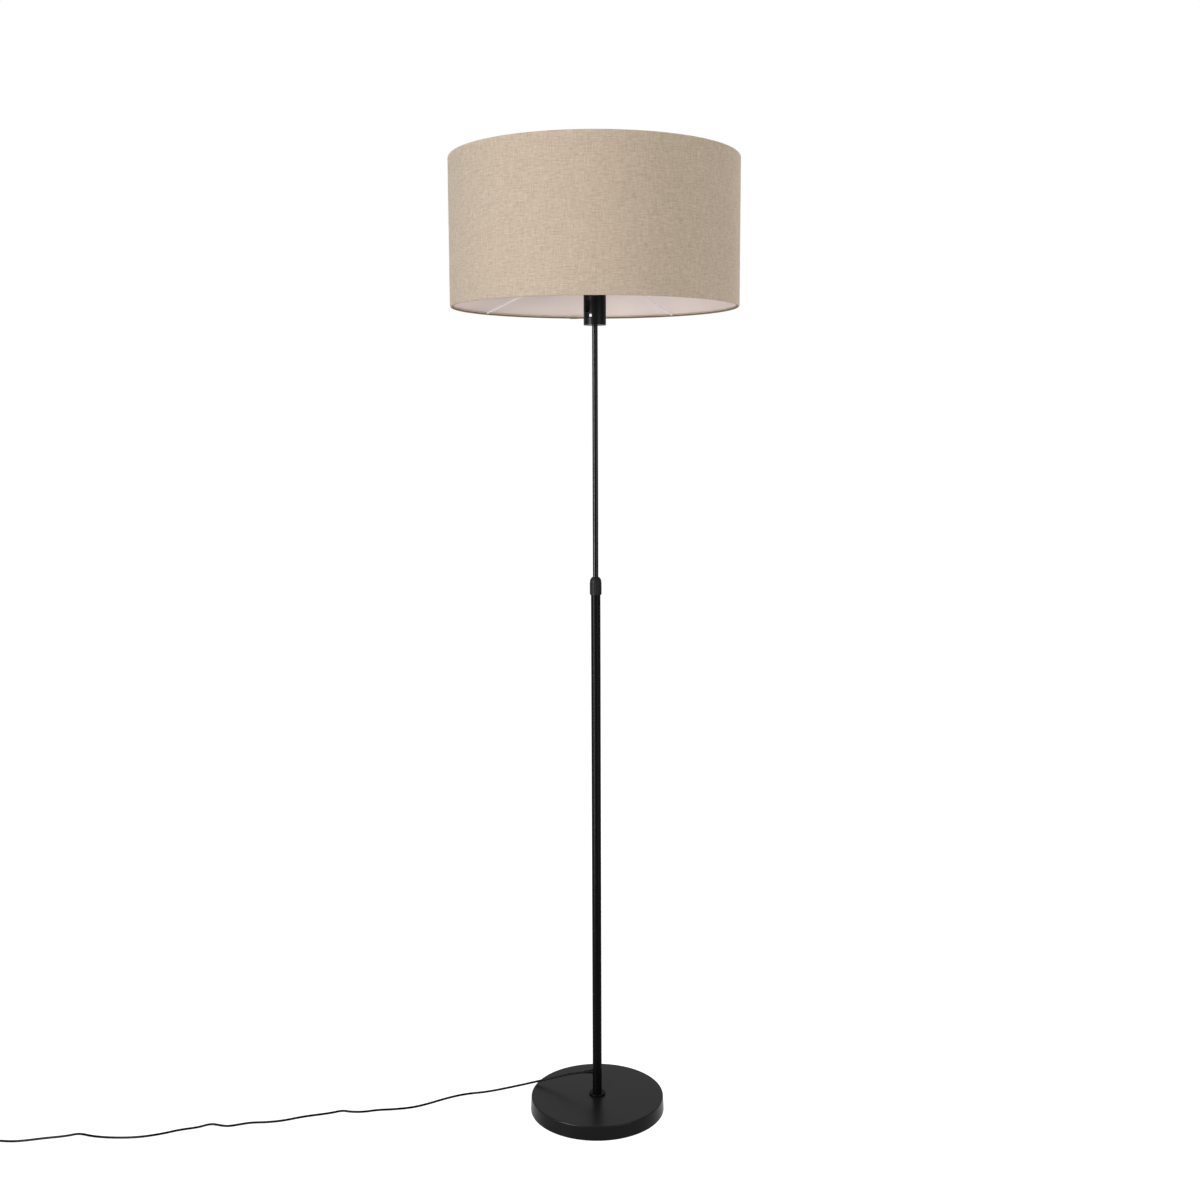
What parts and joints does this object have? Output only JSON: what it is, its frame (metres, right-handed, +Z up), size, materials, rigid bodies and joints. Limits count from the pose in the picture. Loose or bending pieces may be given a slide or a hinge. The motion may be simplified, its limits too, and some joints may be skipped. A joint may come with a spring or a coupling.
{
  "type": "floor lamp",
  "caption": "Height-adjustable floor lamp: round weighted base, slim telescopic pole with a twist-lock collar, rocker switch on the lampholder, beige linen drum shade, cord and plug.",
  "frame": {"origin": "on the floor, in the middle of the round base", "axes": "+Z up along the pole; -Y towards the viewer; the cord runs off towards -X"},
  "size_m": [1.459, 0.5, 1.7174],
  "materials": {
    "satin_black": "satin black paint on steel tube",
    "textured_black": "matt black paint with a fine texture",
    "grey_iron": "rough grey casting",
    "pad_rubber": "matt black",
    "zinc_steel": "zinc plated",
    "black_plastic": "moulded, slightly satin",
    "natural_nylon": "off-white nylon",
    "socket_white": "off-white moulding",
    "cream_paint": "cream powder coat",
    "nickel_brass": "nickel plated",
    "dark_insulator": "glossy",
    "opal_glass": "opal white, semi-gloss",
    "beige_linen": "woven linen with slubs",
    "white_liner": "semi-gloss white film",
    "cord_black": "satin black sheath"
  },
  "bodies": {
    "stand": {"base_cover": "textured_black", "base_weight": "grey_iron", "base_pad": "pad_rubber", "base_nipple": "zinc_steel", "base_washer": "zinc_steel", "base_nut": "zinc_steel", "foot_insert": "zinc_steel", "foot_collar": "satin_black", "lower_tube": "satin_black", "cord_bush": "black_plastic", "tube_ferrule": "zinc_steel", "collet": "natural_nylon", "slack_lead": "cord_black", "cord_lead": "cord_black", "cord_coil": "cord_black", "cord_tie": "black_plastic", "plug_body": "black_plastic", "plug_pins": "nickel_brass"},
    "slider": {"guide_bush": "natural_nylon"},
    "mast": {"upper_tube": "satin_black", "holder_housing": "satin_black", "guide_clips": "zinc_steel", "mast_socket": "zinc_steel", "switch_pin": "zinc_steel", "shade_bottom_ring": "zinc_steel", "shade_top_ring": "zinc_steel", "switch_bezel": "black_plastic", "switch_body": "black_plastic", "holder_skirt": "black_plastic", "shade_rest_ring": "black_plastic", "shade_lock_ring": "black_plastic", "socket_screw": "natural_nylon", "holder_core": "socket_white", "spider_hub": "cream_paint", "spider_spokes": "cream_paint", "screw_shell": "nickel_brass", "centre_contact": "nickel_brass", "bulb_cap": "nickel_brass", "bulb_contact": "dark_insulator", "bulb_globe": "opal_glass", "shade_fabric": "beige_linen", "shade_liner": "white_liner", "inner_lead": "cord_black"},
    "collar": {"lock_collar": "black_plastic"},
    "rocker": {"switch_rocker": "black_plastic"}
  },
  "joints": [
    {"name": "height_slide", "type": "slide", "parent": "stand", "child": "slider", "axis": [0, 0, 1], "range_m": [-0.42, 0.05], "deforming": ["slack_lead"]},
    {"name": "mast_swivel", "type": "hinge", "parent": "slider", "child": "mast", "pos_m": [0, 0, 0.8818], "axis": [0, 0, 1], "range_deg": [-170, 170]},
    {"name": "collar_turn", "type": "hinge", "parent": "stand", "child": "collar", "pos_m": [0, 0, 0.982], "axis": [0, 0, 1], "range_deg": [0, 180]},
    {"name": "rocker_tilt", "type": "hinge", "parent": "mast", "child": "rocker", "pos_m": [-0.00782, -0.01038, 1.4696], "axis": [0.7986, -0.6018, 0], "range_deg": [0, 14]}
  ]
}
